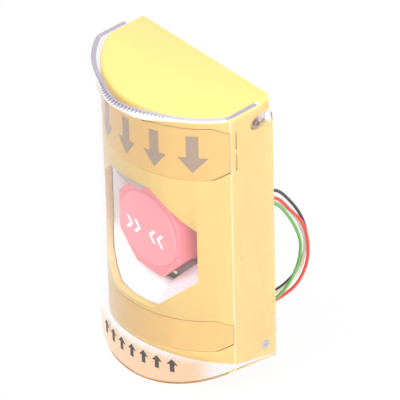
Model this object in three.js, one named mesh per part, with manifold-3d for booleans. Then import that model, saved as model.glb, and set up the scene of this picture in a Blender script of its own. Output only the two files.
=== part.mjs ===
// Wall-mounted emergency push-button station with a clear lift cover.
// Frame: millimetres, X to the right, -Y out from the wall, +Z up. The origin is on the wall
// plane, in the middle of the back plate. "Forward" is a distance out from the wall.
import * as THREE from "three";
import * as BufferGeometryUtils from "three/addons/utils/BufferGeometryUtils.js";
import Module from "manifold-3d";

const wasm = await Module();
wasm.setup();

// Shared values
const overrun = 2; // how far a cutter runs past what it cuts
const seatGap = 0.3; // between a piece and the curved or cut surface that carries it
const slideGap = 0.1; // radial clearance of a round piece in its hole
const arcSteps = 32; // steps along a long front arc
const roundSteps = 16; // steps round a small bore, pin or screw
const bossSteps = 32; // steps round a boss or guide
const discSteps = 48; // steps round the button's disc
const edgeSteps = 3; // steps round a small rounded edge

// Housing
const housingWidth = 71;
const housingHeight = 122.8;
const housingDepth = 39.8;
const housingSideDepth = 18.8;
const housingWall = 2.5;
const roofEdgeRadius = 2;
const bottomRiseShare = 0.24; // the underside climbs this much for each unit forward
const sideDimpleRadius = 0.8;
const sideDimpleDepth = 0.5;
const sideDimpleBack = 2.5; // behind the front corner
const sideDimpleHeight = -7.3;

// Window and label areas in the housing's front
const windowSideMargin = 8.8; // from the window to the housing's side
const windowTopWidth = 20.8;
const windowSideHeight = 24;
const windowCentreHeight = -4.4;
const labelDepth = 1.1;
const labelThickness = 0.8;
const labelSideMargin = 0.7; // from a label plate to the housing's side
const labelCornerWidth = 3.8;
const labelCornerShare = 0.196; // height of a slanted corner, in heights of the lower label
const upperLabelDown = 5.7; // from the housing's top
const upperLabelUp = 8; // above the window
const lowerLabelDown = 2.5; // below the window
const lowerLabelUp = 11.7; // from the housing's bottom
const cornerSlotHeight = 7.6;
const cornerSlotWidth = 0.8;
const cornerSlotDepth = 0.9;
const cornerSlotSpacing = 10;

// Hinge
const pinDiameter = 4.4;
const pinForward = 7.1;
const pinBelowTop = 9.5;
const pinSunk = 0.9; // its end lies below the housing's side face
const pinSlotGap = 0.9; // round the pin, in the slot of the housing's side wall
const studRadius = 1.3; // of the cover's stud, which turns in the pin's bore
const studLength = 4.3;
const studEndGap = 0.4;
const hingeBlockWidth = 5;
const hingeBlockTopGap = 1; // below the roof's inner face
const hingeBlockDepth = 10;

// Clear cover
const coverSideGap = 0.4;
const coverFrontGap = 1.4;
const coverWall = 2;
const coverRearGap = 0.3;
const coverOpenAngle = 50;
const coverSideLift = 0.1;
const coverSideRiseShare = 0.155;
const coverLipFallShare = 0.44;
const brimReach = 3.5;
const brimHalfAngle = 27;
const brimHeight = 4.6;
const brimEdge = 1;
const brimInnerReach = 2.6;
const brimSteps = 24;
const grooveCount = 27;
const grooveWidth = 0.8;
const grooveEndLength = 0.5;
const grooveLengthShare = 0.45; // of the brim's reach at the groove
const grooveDepth = 0.5;
const groovePitchAngle = 2;

// Button
const buttonWidth = 34.4;
const buttonHeight = 40;
const buttonTopWidth = 14.4;
const buttonSideHeight = 17;
const buttonSunk = 8.9; // behind the middle of the housing's front
const buttonRearGap = 0.4; // left to the contact blocks when the button is fully in
const buttonWall = 2;
const buttonFaceWall = 2.5;
const buttonEdge = 0.8;
const buttonTravel = 4;
const buttonBossRadius = 7.2;
const buttonBossGap = 1; // left to the guide when the button is fully in
const discRim = 1; // left round the disc on the button's face
const discThickness = 1.2;
const discProud = 0.5;
const discEdge = 0.5;
const padRadius = 2.6;

// Stem, guide and return spring
const stemDiameter = 6;
const stemEndGap = 1; // left to the back plate when the button is fully in
const stemPocket = 1.2; // wall left between the stem's front end and the disc pocket
const clipDiameter = 7.6;
const clipBore = 4.8;
const clipThickness = 0.7;
const clipSlot = 3;
const clipRest = 0.2; // play between the clip and the guide's shoulder at rest
const notchPlay = 0.15;
const guideDiameter = 10.4;
const guideFront = 15;
const guideShoulder = 8.4;
const guideCounterbore = 8.2;
const springWire = 0.9;
const springMeanDiameter = 12.4;
const springTurns = 6;
const springTurnSteps = 8;
const springSides = 6;

// Back plate
const plateThickness = 2;
const plateSideGap = 0.6; // inside the housing's side walls
const plateEndGap = 0.9;
const plateCorner = 3;
const plateWindowWidth = 10.5;
const plateWindowMargin = 4.4; // to the plate's side
const plateWindowTop = 14;
const plateWindowUp = 6; // from the plate's bottom
const plateWindowCorner = 1.5;
const mountSlotSpacing = 83.3;
const mountSlotWidth = 4.4;
const mountSlotLength = 10;

// Switch base and contact blocks
const baseWidth = 32;
const baseHeight = 26;
const baseThickness = 2.5;
const baseScrewSpacing = 20;
const baseScrewRadius = 1.5;
const baseScrewHeadRadius = 2.6;
const baseScrewHeadHeight = 1.6;
const crossSlotWidth = 0.8;
const contactInner = 9.2;
const contactWidth = 6.2;
const contactHeight = 18;
const contactFront = 10.6;
const contactFloor = 0.5;
const plungerRadius = 1.6;
const plungerFree = 0.4;
const plungerProud = 1.2; // still stands out of its block when fully in
const plungerEndGap = 0.2; // left behind it when fully in
const bladeWidth = 2.4;
const bladeThickness = 0.6;
const bladeSpacing = 10;
const bladeReach = 6.2;
const bladeRear = 8.2;

// Lamp board
const boardRear = 12.6;
const boardThickness = 1.4;
const boardSideGap = 1.2; // inside the housing's side walls
const boardEndMargin = 3.5; // past the window's top and bottom
const boardHoleMargin = 0.3; // past the bezel's rim
const standoffDiameter = 3.4;
const standoffInset = 1.9;
const standoffEndInset = 7;
const lampSize = 4;
const lampHeight = 1.3;
const terminalInset = 1.1; // from the inner side of the plate's window
const terminalPitch = 2.3;
const terminalMargin = 1.2;
const terminalHeight = 9;
const terminalDepth = 7.2;
const terminalBottom = 6.6;
const terminalHoleDepth = 4;
const terminalHoleFront = 9;
const terminalScrewRadius = 0.8;
const terminalScrewHeight = 0.6;
const terminalScrewDown = 3;

// White bezel and the grey bar across its upper left
const bezelThickness = 1.6;
const bezelFlange = 2.6;
const bezelButtonGap = 2.6;
const bezelSlopeHeight = 8.5; // from the button's top and bottom to the window's
const bezelDepth = 9; // from the wall's inner face to the rim round the button
const bezelSteps = 4;
const bezelLegRadius = 1.4;
const barThickness = 1.4;
const barBehindFront = 1;
const barBelowWindow = 1.2;
const barHeight = 2;
const barLength = 14.2;
const barInsideCorner = 1.8; // from its left end to the corner of the window's top side

// Housing fixing screws and their blocks
const fixingBlockWidth = 5;
const fixingBlockDepth = 4.6;
const fixingBlockAbove = 5; // above the screw
const fixingBlockBelow = 2;
const fixingForward = 4.4;
const fixingUp = 6.4; // from the housing's bottom
const fixingScrewRadius = 1.2;
const fixingScrewLength = 7;
const fixingHeadRadius = 1.9;
const fixingHeadHeight = 1.1;
const fixingSocketRadius = 0.8;
const fixingSocketDepth = 0.7;
const socketSides = 6;

// Leads
const leadDiameter = 1.3;
const leadBareDiameter = 0.7;
const leadBareLength = 5;
const leadSides = 8;
const leadStepDiameters = 2.5;
// Routes from the terminal holes, out through the plate's window and back in, hand-placed
// as [y, z]. Each lead keeps the X of its own terminal hole.
const leadRoutes = {
  black: [
    [-9, 10.3], [-9, 5.6], [-6.4, 2.6], [0, 1.6], [8, 1.9], [16.9, -0.8], [24.3, -9.7], [29.9, -19.8],
    [32.4, -29], [31.6, -37.5], [27.4, -44.8], [20.6, -48.2], [13.4, -48.6], [5.5, -47.8],
    [-0.6, -46], [-5, -43.2],
  ],
  white: [
    [-9, 10.3], [-9, 5.2], [-6, 1.4], [0.4, 0.2], [7.4, -0.2], [14.6, -4], [22.1, -12.1], [27.4, -22],
    [29.7, -32.1], [26.9, -42.3], [19.9, -46.9], [13.4, -47.6], [5.4, -46.8], [-0.4, -45], [-4.6, -42],
  ],
  red: [
    [-9, 10.3], [-9, 5.6], [-6.2, 2.2], [0, 1.4], [6, 1.6], [12.6, 0.2], [20, -9.1], [26.7, -19.6],
    [29.2, -31.1], [28, -40.2], [23.1, -46.6], [15.7, -48.6], [8, -48.4], [1, -46.8], [-4, -44],
  ],
  green: [
    [-9, 10.3], [-9, 5.4], [-6.4, 2.2], [-1, 1.4], [4.6, 1.8], [10.5, -0.4], [17.9, -10.9], [22.5, -22],
    [23.2, -28], [21.3, -35.9], [15.8, -42.8], [9.6, -45.6], [3.6, -45.4], [-1.6, -43.6], [-5.4, -40.4],
  ],
};

// Worked-out sizes
const halfWidth = housingWidth / 2;
const topHeight = housingHeight / 2;
const frontSagitta = housingDepth - housingSideDepth;
const frontRadius = (halfWidth ** 2 + frontSagitta ** 2) / (2 * frontSagitta);
const frontCentre = housingDepth - frontRadius; // forward place of the front arc's axis
const innerHalfWidth = halfWidth - housingWall;
const innerRadius = frontRadius - housingWall;
const blockOuter = innerHalfWidth - seatGap;
const coverInnerHalf = halfWidth + coverSideGap;
const coverHalf = coverInnerHalf + coverWall;
const coverInnerRadius = frontRadius + coverFrontGap;
const coverRadius = coverInnerRadius + coverWall;
const pinHeight = topHeight - pinBelowTop;
const pinRadius = pinDiameter / 2;
const hingeBlockHeight = 2 * (pinBelowTop - housingWall - hingeBlockTopGap);
const fixingHeight = fixingUp - topHeight;
const windowWidth = housingWidth - 2 * windowSideMargin;
const windowHeight = buttonHeight + 2 * bezelSlopeHeight;
const windowTop = windowCentreHeight + windowHeight / 2;
const windowBottom = windowCentreHeight - windowHeight / 2;
const labelWidth = housingWidth - 2 * labelSideMargin;
const upperLabelBottom = windowTop + upperLabelUp;
const upperLabelHeight = topHeight - upperLabelDown - upperLabelBottom;
const lowerLabelBottom = lowerLabelUp - topHeight;
const lowerLabelHeight = windowBottom - lowerLabelDown - lowerLabelBottom;
const labelCornerHeight = labelCornerShare * lowerLabelHeight;
const bezelRimRadius = innerRadius - bezelDepth;
const plateWidth = 2 * (innerHalfWidth - plateSideGap);
const plateHeight = housingHeight - 2 * (housingWall + plateEndGap);
const plateWindowInner = plateWidth / 2 - plateWindowMargin - plateWindowWidth;
const plateWindowBottom = plateWindowUp - plateHeight / 2;
const boardWidth = 2 * (innerHalfWidth - boardSideGap);
const boardHeight = windowHeight + 2 * boardEndMargin;
const boardHoleGap = bezelButtonGap + boardHoleMargin;
const terminalInner = plateWindowInner + terminalInset;
const buttonForward = housingDepth - buttonSunk;
const discRadius = Math.min(buttonWidth, buttonHeight) / 2 - discRim;
const faceBack = buttonForward - buttonFaceWall;
const buttonRear = contactFront + buttonTravel + buttonRearGap;
const buttonBossRear = guideFront + buttonTravel + buttonBossGap;
const stemRear = plateThickness + buttonTravel + stemEndGap;
const baseFront = plateThickness + baseThickness;
const contactBoreRear = baseFront + contactFloor;
const plungerRear = contactBoreRear + buttonTravel + plungerEndGap;
const plungerFront = contactFront + buttonTravel + plungerProud;
const stemRadius = stemDiameter / 2;
const discFront = buttonForward + discProud;
const stemFront = discFront - discThickness - stemPocket;
const contactMiddle = contactInner + contactWidth / 2;
const boardFront = boardRear + boardThickness;
const leadX = (place) => terminalInner + terminalMargin + place * terminalPitch;

// Colours
const finish = (color, roughness, metalness = 0) =>
  new THREE.MeshStandardMaterial({ color, roughness, metalness });
const yellow = finish(0xf8d94f, 0.4);
const orange = finish(0xf6cb48, 0.45);
const red = finish(0xe8505a, 0.35);
const brightRed = finish(0xee5a64, 0.3);
const white = finish(0xf4f1f2, 0.35);
const grey = finish(0x9a9795, 0.6);
const black = finish(0x26262a, 0.55);
const brown = finish(0x6b4a3c, 0.5);
const cream = finish(0xe9e4cc, 0.5);
const steel = finish(0xb9bcc0, 0.35, 1);
const brass = finish(0xc9a75a, 0.35, 1);
const green = finish(0x3f8d57, 0.5);
const clear = finish(0xdfe0ee, 0.1);
clear.transparent = true;
clear.opacity = 0.35;

const part = new THREE.Group();

// A closed geometry becomes a solid that can be joined and cut.
function solid(geometry) {
  const bare = geometry.clone();
  bare.deleteAttribute("normal");
  bare.deleteAttribute("uv");
  const merged = BufferGeometryUtils.mergeVertices(bare);
  return new wasm.Manifold(
    new wasm.Mesh({
      numProp: 3,
      vertProperties: new Float32Array(merged.attributes.position.array),
      triVerts: new Uint32Array(merged.index.array),
    }),
  );
}

// A solid becomes a geometry again.
function toGeometry(body) {
  const mesh = body.getMesh();
  const geometry = new THREE.BufferGeometry();
  geometry.setAttribute("position", new THREE.BufferAttribute(new Float32Array(mesh.vertProperties), 3));
  geometry.setIndex(new THREE.BufferAttribute(new Uint32Array(mesh.triVerts), 1));
  geometry.computeVertexNormals();
  return geometry;
}

const join = (bodies) => bodies.reduce((all, body) => all.add(body));
const cut = (body, cutters) => cutters.reduce((rest, cutter) => rest.subtract(cutter), body);

function addNode(name, shape, material) {
  const mesh = new THREE.Mesh(shape.isBufferGeometry ? shape : toGeometry(shape), material);
  mesh.name = name;
  part.add(mesh);
}

const extrusion = (shape, depth, options = {}) =>
  new THREE.ExtrudeGeometry(shape, { depth, bevelEnabled: false, curveSegments: arcSteps, ...options });

// A plan is drawn in X and Y and rises from bottom to top.
const planSolid = (shape, bottom, top) => solid(extrusion(shape, top - bottom).translate(0, 0, bottom));

// A front view is drawn in X and Z and comes forward from rear to front.
const frontSolid = (shape, rear, front, options) =>
  solid(extrusion(shape, front - rear, options).rotateX(Math.PI / 2).translate(0, -rear, 0));

// A side view is drawn in forward and Z, and runs along X.
function sideSolid(shape, left, right) {
  const turn = new THREE.Matrix4().set(0, 0, -1, right, -1, 0, 0, 0, 0, 1, 0, 0, 0, 0, 0, 1);
  return solid(extrusion(shape, right - left).applyMatrix4(turn));
}

// A box from ranges of x, forward and height. The two ends of a range may come in any order.
function box([x0, x1], [rear, front], [bottom, top]) {
  const geometry = new THREE.BoxGeometry(Math.abs(x1 - x0), front - rear, top - bottom);
  return solid(geometry.translate((x0 + x1) / 2, -(rear + front) / 2, (bottom + top) / 2));
}

// A round bar along the forward direction.
function forwardBar(x, height, radius, [rear, front], steps = roundSteps) {
  const geometry = new THREE.CylinderGeometry(radius, radius, front - rear, steps);
  return solid(geometry.translate(x, -(rear + front) / 2, height));
}

// A round bar on the button's own axis.
const centreBar = (radius, range, steps) => forwardBar(0, windowCentreHeight, radius, range, steps);

// A round bar along X.
function crossBar(forward, height, radius, [x0, x1], steps = roundSteps) {
  const geometry = new THREE.CylinderGeometry(radius, radius, Math.abs(x1 - x0), steps).rotateZ(Math.PI / 2);
  return solid(geometry.translate((x0 + x1) / 2, -forward, height));
}

const polygon = (points) => new THREE.Shape(points.map(([x, y]) => new THREE.Vector2(x, y)));

// A rectangle with round corners about a centre, walked from its lower right corner.
function roundedRectangle(width, height, radius, [x, y] = [0, 0]) {
  const shape = new THREE.Shape();
  const corners = [[1, -1, -90], [1, 1, 0], [-1, 1, 90], [-1, -1, 180]];
  for (const [sideX, sideY, angle] of corners) {
    const start = THREE.MathUtils.degToRad(angle);
    const centreX = x + sideX * (width / 2 - radius);
    const centreY = y + sideY * (height / 2 - radius);
    shape.absarc(centreX, centreY, radius, start, start + Math.PI / 2, false);
  }
  return shape;
}

// D-shaped plan: straight sides from the rear and an arc about the front's axis.
function dShape(sideX, radius, rear) {
  const angle = Math.asin(sideX / radius);
  const shape = new THREE.Shape();
  shape.moveTo(sideX, -rear);
  shape.lineTo(-sideX, -rear);
  shape.absarc(0, -frontCentre, radius, -Math.PI / 2 - angle, -Math.PI / 2 + angle, false);
  return shape;
}

// Forward place of the point at x on an arc about the front's axis.
const arcForward = (x, radius) => frontCentre + Math.sqrt(radius ** 2 - x ** 2);

// Eight-sided outline, grown by a margin that is the same on straight and slanted sides.
function octagon([width, height, topWidth, sideHeight], centre, margin = 0) {
  const slantX = (width - topWidth) / 2;
  const slantZ = (height - sideHeight) / 2;
  const slant = Math.hypot(slantX, slantZ);
  const outX = width / 2 + margin;
  const outZ = height / 2 + margin;
  const flatX = topWidth / 2 + (margin * (slant - slantX)) / slantZ;
  const flatZ = sideHeight / 2 + (margin * (slant - slantZ)) / slantX;
  return [
    [outX, -flatZ], [outX, flatZ], [flatX, outZ], [-flatX, outZ],
    [-outX, flatZ], [-outX, -flatZ], [-flatX, -outZ], [flatX, -outZ],
  ].map(([x, z]) => [x, centre + z]);
}

const windowSizes = [windowWidth, windowHeight, windowTopWidth, windowSideHeight];
const windowOutline = (margin) => octagon(windowSizes, windowCentreHeight, margin);
const buttonSizes = [buttonWidth, buttonHeight, buttonTopWidth, buttonSideHeight];
const buttonOutline = (margin) => octagon(buttonSizes, windowCentreHeight, margin);

// A plate on the front's curve: the ring between two radii, inside an outline.
function curvedPlate(outline, [innerR, outerR], [bottom, top]) {
  const sideX = Math.min(halfWidth + overrun, innerR);
  const outer = planSolid(dShape(sideX, outerR, 0), bottom, top);
  const inner = planSolid(dShape(sideX, innerR, -overrun), bottom - overrun, top + overrun);
  return outer.subtract(inner).intersect(frontSolid(polygon(outline), 0, housingDepth + overrun));
}

// Label outline with slanted corners, grown by a margin.
function labelOutline(bottom, height, margin = 0) {
  const x = labelWidth / 2 + margin;
  const low = bottom - margin;
  const high = bottom + height + margin;
  return [
    [x, low + labelCornerHeight], [x, high - labelCornerHeight],
    [x - labelCornerWidth, high], [labelCornerWidth - x, high],
    [-x, high - labelCornerHeight], [-x, low + labelCornerHeight],
    [labelCornerWidth - x, low], [x - labelCornerWidth, low],
  ];
}

const labels = [
  ["upper_label_plate", upperLabelBottom, upperLabelHeight],
  ["lower_label_plate", lowerLabelBottom, lowerLabelHeight],
];

// A label plate, a little clear of its recess.
function labelPlate(low, height) {
  const rear = frontRadius - labelDepth + seatGap;
  return curvedPlate(labelOutline(low, height), [rear, rear + labelThickness], [low, low + height]);
}

// Everything below the housing's sloping underside, lifted by an amount.
function belowFloor(lift) {
  const far = housingDepth + overrun;
  const level = lift - topHeight;
  const outline = polygon([
    [-far, level - far * bottomRiseShare],
    [-far, -housingHeight],
    [far, -housingHeight],
    [far, level + far * bottomRiseShare],
  ]);
  return sideSolid(outline, -housingWidth, housingWidth);
}

// Cutters through one side wall of the housing: the open pin slot, the fixing screw's hole and
// head seat, the small dimple and the two short slots at the front corner.
function sideWallCutters(side) {
  const through = [side * (innerHalfWidth - overrun), side * (halfWidth + overrun)];
  const fromOutside = (depth) => [side * (halfWidth - depth), side * (halfWidth + overrun)];
  const slotRadius = pinRadius + pinSlotGap;
  const dimpleForward = housingSideDepth - sideDimpleBack;
  const slotMiddle = upperLabelBottom + upperLabelHeight / 2;
  const cutters = [
    crossBar(pinForward, pinHeight, slotRadius, through),
    box(through, [-overrun, pinForward], [pinHeight - slotRadius, pinHeight + slotRadius]),
    crossBar(fixingForward, fixingHeight, fixingScrewRadius + slideGap, through),
    crossBar(fixingForward, fixingHeight, fixingHeadRadius + slideGap, fromOutside(fixingHeadHeight)),
    crossBar(dimpleForward, sideDimpleHeight, sideDimpleRadius, fromOutside(sideDimpleDepth)),
  ];
  for (const offset of [-cornerSlotSpacing / 2, cornerSlotSpacing / 2]) {
    const middle = slotMiddle + offset;
    const front = housingSideDepth - cornerSlotWidth;
    cutters.push(
      box(
        fromOutside(cornerSlotDepth),
        [front - cornerSlotWidth, front],
        [middle - cornerSlotHeight / 2, middle + cornerSlotHeight / 2],
      ),
    );
  }
  return cutters;
}

// Housing shell: a D-shaped box, open at the rear, with the roof's edge rounded along the front
function housingShell() {
  const inset = roofEdgeRadius;
  const outline = dShape(halfWidth, frontRadius - inset, -inset - overrun);
  const outer = extrusion(outline, housingHeight + overrun - inset, {
    bevelEnabled: true,
    bevelThickness: inset,
    bevelSize: inset,
    bevelSegments: edgeSteps,
  }).translate(0, 0, -topHeight - overrun);
  const cavity = planSolid(
    dShape(innerHalfWidth, innerRadius, -overrun),
    -topHeight - overrun,
    topHeight - housingWall,
  ).subtract(belowFloor(housingWall * Math.hypot(1, bottomRiseShare)));
  const reach = [-housingHeight, housingHeight];
  const between = box([-halfWidth, halfWidth], [0, housingDepth + overrun], reach);
  const opening = frontSolid(polygon(windowOutline()), innerRadius / 2, housingDepth + overrun);
  const recesses = labels.map(([, low, height]) =>
    curvedPlate(
      labelOutline(low, height, seatGap),
      [frontRadius - labelDepth, frontRadius + overrun],
      [low - overrun, low + height + overrun],
    ),
  );
  return cut(solid(outer).intersect(between), [
    belowFloor(0),
    cavity,
    opening,
    ...recesses,
    ...sideWallCutters(-1),
    ...sideWallCutters(1),
  ]);
}

// A crescent along the cover's top: it swells from nothing at both ends to its full reach in the
// middle. The section gives its points as [radius, height] for a share of the reach.
function crescent(section) {
  const sections = Array.from({ length: brimSteps + 1 }, (_, i) => {
    const share = (2 * i) / brimSteps - 1;
    const angle = share * THREE.MathUtils.degToRad(brimHalfAngle);
    return section(brimSwell(share)).map(([radius, height]) => [
      radius * Math.sin(angle),
      frontCentre + radius * Math.cos(angle),
      height,
    ]);
  });
  return loft(sections);
}

const brimSwell = (share) => (1 - share ** 2) ** 3;

// A closed body through sections of equally many points, with a flat cap at each end.
function loft(sections) {
  const count = sections[0].length;
  const last = (sections.length - 1) * count;
  const index = [];
  for (let row = 0; row + 1 < sections.length; row += 1) {
    for (let i = 0; i < count; i += 1) {
      const [a, b] = [row * count + i, row * count + ((i + 1) % count)];
      index.push(a, b + count, b, a, a + count, b + count);
    }
  }
  for (let i = 1; i + 1 < count; i += 1) {
    index.push(0, i, i + 1, last, last + i + 1, last + i);
  }
  return indexedSolid(sections.flat(), index);
}

// Points as [x, forward, height] and their triangles become a solid.
function indexedSolid(points, index) {
  const positions = points.flatMap(([x, forward, z]) => [x, -forward, z]);
  const geometry = new THREE.BufferGeometry();
  geometry.setAttribute("position", new THREE.Float32BufferAttribute(positions, 3));
  geometry.setIndex(index);
  return solid(geometry);
}

// Clear cover: a D-shaped tube, open at the rear, the top and the bottom, with a brim
function clearCover() {
  const cornerForward = arcForward(coverHalf, coverRadius);
  const cornerHeight = coverSideLift - topHeight + coverSideRiseShare * cornerForward;
  const lowest = cornerHeight - coverLipFallShare * (frontCentre + coverRadius - cornerForward);
  const brimTip = coverRadius + brimReach;
  const brimBottom = topHeight - brimHeight;
  const above = topHeight + overrun;
  const wall = planSolid(dShape(coverHalf, coverRadius, coverRearGap), lowest - overrun, topHeight);
  const hollow = planSolid(dShape(coverInnerHalf, coverInnerRadius, -overrun), lowest - 2 * overrun, above);
  const brimRoot = coverRadius - slideGap;
  const brim = crescent((swell) => [
    [brimRoot - coverWall / 2, brimBottom],
    [brimRoot, brimBottom],
    [brimRoot + brimReach * swell, topHeight - brimEdge],
    [brimRoot + brimReach * swell, topHeight],
    [brimRoot - coverWall / 2, topHeight],
  ]);
  const flareRoot = coverInnerRadius - slideGap;
  const flare = crescent((swell) => [
    [flareRoot - overrun, brimBottom],
    [flareRoot, brimBottom],
    [flareRoot + brimInnerReach * swell, topHeight],
    [flareRoot + brimInnerReach * swell, above],
    [flareRoot - overrun, above],
  ]);
  return cut(wall.add(brim), [
    hollow,
    flare,
    ...brimGrooves(),
    belowCover(cornerForward, cornerHeight, lowest, brimTip),
    behindEars(coverRearGap, lowest, brimTip),
  ]).add(join([-1, 1].map(pinStud)));
}

// Grip grooves: short radial cuts down into the brim's outer edge.
function brimGrooves() {
  return Array.from({ length: grooveCount }, (_, i) => {
    const turn = (i - (grooveCount - 1) / 2) * groovePitchAngle;
    const reach = brimReach * brimSwell(turn / brimHalfAngle);
    const length = grooveEndLength + grooveLengthShare * reach + overrun;
    const groove = new THREE.BoxGeometry(grooveWidth, length, grooveDepth + overrun);
    const middle = coverRadius + reach + overrun - length / 2;
    groove.translate(0, -middle, topHeight + (overrun - grooveDepth) / 2);
    return solid(groove.rotateZ(THREE.MathUtils.degToRad(turn)).translate(0, -frontCentre, 0));
  });
}

// What the cover's lower edge leaves: it climbs along the sides and falls to a lip in front.
function belowCover(cornerForward, cornerHeight, lowest, brimTip) {
  const far = brimTip + overrun;
  const outline = polygon([
    [-overrun, coverSideLift - topHeight - overrun * coverSideRiseShare],
    [-overrun, lowest - 3 * overrun],
    [far, lowest - 3 * overrun],
    [far, cornerHeight - coverLipFallShare * (far - cornerForward)],
    [cornerForward, cornerHeight],
  ]);
  return sideSolid(outline, -coverHalf - overrun, coverHalf + overrun);
}

// What lies behind the ears: they turn about the pins, so their rear edge is an arc about the
// pin and then the line that stands along the wall when the cover is fully open.
function behindEars(rear, lowest, brimTip) {
  const radius = pinForward - rear;
  const opening = THREE.MathUtils.degToRad(coverOpenAngle);
  const end = Math.PI - opening;
  const endForward = pinForward + radius * Math.cos(end);
  const endHeight = pinHeight + radius * Math.sin(end);
  const climb = topHeight + overrun - endHeight;
  const shape = new THREE.Shape();
  shape.moveTo(-brimTip, lowest - 2 * overrun);
  shape.lineTo(rear, lowest - 2 * overrun);
  shape.lineTo(rear, pinHeight);
  shape.absarc(pinForward, pinHeight, radius, Math.PI, end, true);
  shape.lineTo(endForward + climb / Math.tan(opening), endHeight + climb);
  shape.lineTo(-brimTip, endHeight + climb);
  return sideSolid(shape, -coverHalf - overrun, coverHalf + overrun);
}

// A stud on the inside of one ear, which turns in the bore of the pin.
function pinStud(side) {
  const range = [side * (coverInnerHalf - studLength), side * (coverInnerHalf + coverWall / 2)];
  return crossBar(pinForward, pinHeight, studRadius, range);
}

// Button: a hollow block with a round pocket for its face disc, a boss for the stem and a
// pad over each contact plunger
function buttonBlock() {
  const outline = polygon(buttonOutline(-buttonEdge));
  const shell = frontSolid(outline, buttonRear - overrun, buttonForward - buttonEdge, {
    bevelEnabled: true,
    bevelThickness: buttonEdge,
    bevelSize: buttonEdge,
    bevelSegments: 1,
  });
  const hollow = frontSolid(polygon(buttonOutline(-buttonWall)), buttonRear - 2 * overrun, faceBack);
  const boss = centreBar(buttonBossRadius, [buttonBossRear, faceBack], bossSteps);
  const padRange = [plungerFront + plungerFree, faceBack];
  const pads = [-1, 1].map((side) => plungerBar(side, padRadius, padRange));
  const discPocket = [discFront - discThickness, buttonForward + overrun];
  const behind = [-housingDepth, buttonRear];
  return cut(shell.subtract(hollow).add(join([boss, ...pads])), [
    box([-housingWidth, housingWidth], behind, [-housingHeight, housingHeight]),
    centreBar(discRadius + slideGap, discPocket, discSteps),
    centreBar(stemRadius + slideGap, [buttonBossRear - overrun, stemFront + slideGap]),
  ]);
}

// Profile turned about the button's axis, given as [radius, forward] from the rear.
function turned(profile, steps) {
  const geometry = new THREE.LatheGeometry(
    profile.map(([radius, forward]) => new THREE.Vector2(radius, forward)),
    steps,
  );
  return solid(geometry.rotateX(Math.PI).translate(0, 0, windowCentreHeight));
}

function buttonDisc() {
  const rear = discFront - discThickness;
  const profile = [
    [0, rear], [discRadius, rear], [discRadius, discFront - discEdge],
    [discRadius - discEdge, discFront], [0, discFront],
  ];
  return turned(profile, discSteps);
}

function buttonStem() {
  const notchRadius = clipBore / 2 - slideGap;
  const notchRear = guideShoulder - clipRest - clipThickness - notchPlay;
  const notchFront = guideShoulder - clipRest + notchPlay;
  const profile = [
    [0, stemRear], [stemRadius, stemRear], [stemRadius, notchRear], [notchRadius, notchRear],
    [notchRadius, notchFront], [stemRadius, notchFront], [stemRadius, stemFront], [0, stemFront],
  ];
  return turned(profile, roundSteps);
}

function stemClip() {
  const range = [guideShoulder - clipRest - clipThickness, guideShoulder - clipRest];
  const past = [range[0] - overrun, range[1] + overrun];
  return cut(centreBar(clipDiameter / 2, range), [
    centreBar(clipBore / 2, past),
    box([-clipSlot / 2, clipSlot / 2], past, [windowCentreHeight - clipDiameter, windowCentreHeight]),
  ]);
}

// Return spring: one wire wound round the guide, from the base to the button's boss
class SpringCurve extends THREE.Curve {
  getPoint(t, target = new THREE.Vector3()) {
    const angle = 2 * Math.PI * springTurns * t;
    const rear = baseFront + seatGap + springWire / 2;
    const front = buttonBossRear - seatGap - springWire / 2;
    return target.set(
      (springMeanDiameter / 2) * Math.cos(angle),
      -(rear + (front - rear) * t),
      windowCentreHeight + (springMeanDiameter / 2) * Math.sin(angle),
    );
  }
}

const roundSection = (radius, sides) =>
  polygon(
    Array.from({ length: sides }, (_, i) => {
      const angle = (2 * Math.PI * i) / sides;
      return [radius * Math.cos(angle), radius * Math.sin(angle)];
    }),
  );

function tube(curve, diameter, sides, steps) {
  const section = roundSection(diameter / 2, sides);
  return new THREE.ExtrudeGeometry(section, { steps, extrudePath: curve, bevelEnabled: false });
}

const returnSpring = () => tube(new SpringCurve(), springWire, springSides, springTurns * springTurnSteps);

// Back plate: steel, with two slots for the wall box and a tall window on each side
function backPlate() {
  const shape = roundedRectangle(plateWidth, plateHeight, plateCorner);
  const high = plateWindowTop - plateWindowBottom;
  for (const side of [-1, 1]) {
    const middleX = side * (plateWindowInner + plateWindowWidth / 2);
    const middle = [middleX, plateWindowBottom + high / 2];
    shape.holes.push(roundedRectangle(plateWindowWidth, high, plateWindowCorner, middle));
    const slotMiddle = [0, (side * mountSlotSpacing) / 2];
    shape.holes.push(roundedRectangle(mountSlotLength, mountSlotWidth, mountSlotWidth / 2, slotMiddle));
  }
  const plate = frontSolid(shape, 0, plateThickness, { curveSegments: edgeSteps });
  return cut(plate, baseScrewHoles([-overrun, plateThickness + overrun]));
}

// The two holes for the base's screws.
const baseScrewHoles = (range) => [-1, 1].map((end) => baseScrewBar(end, baseScrewRadius + slideGap, range));

const baseScrewBar = (end, radius, range) =>
  forwardBar(0, windowCentreHeight + (end * baseScrewSpacing) / 2, radius, range);

function hingeBlock(side) {
  const x = [side * (blockOuter - hingeBlockWidth), side * blockOuter];
  const body = box(x, [plateThickness, plateThickness + hingeBlockDepth], [
    pinHeight - hingeBlockHeight / 2,
    pinHeight + hingeBlockHeight / 2,
  ]);
  const bore = [x[0] - side * overrun, x[1] + side * overrun];
  return body.subtract(crossBar(pinForward, pinHeight, pinRadius + slideGap, bore));
}

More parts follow.
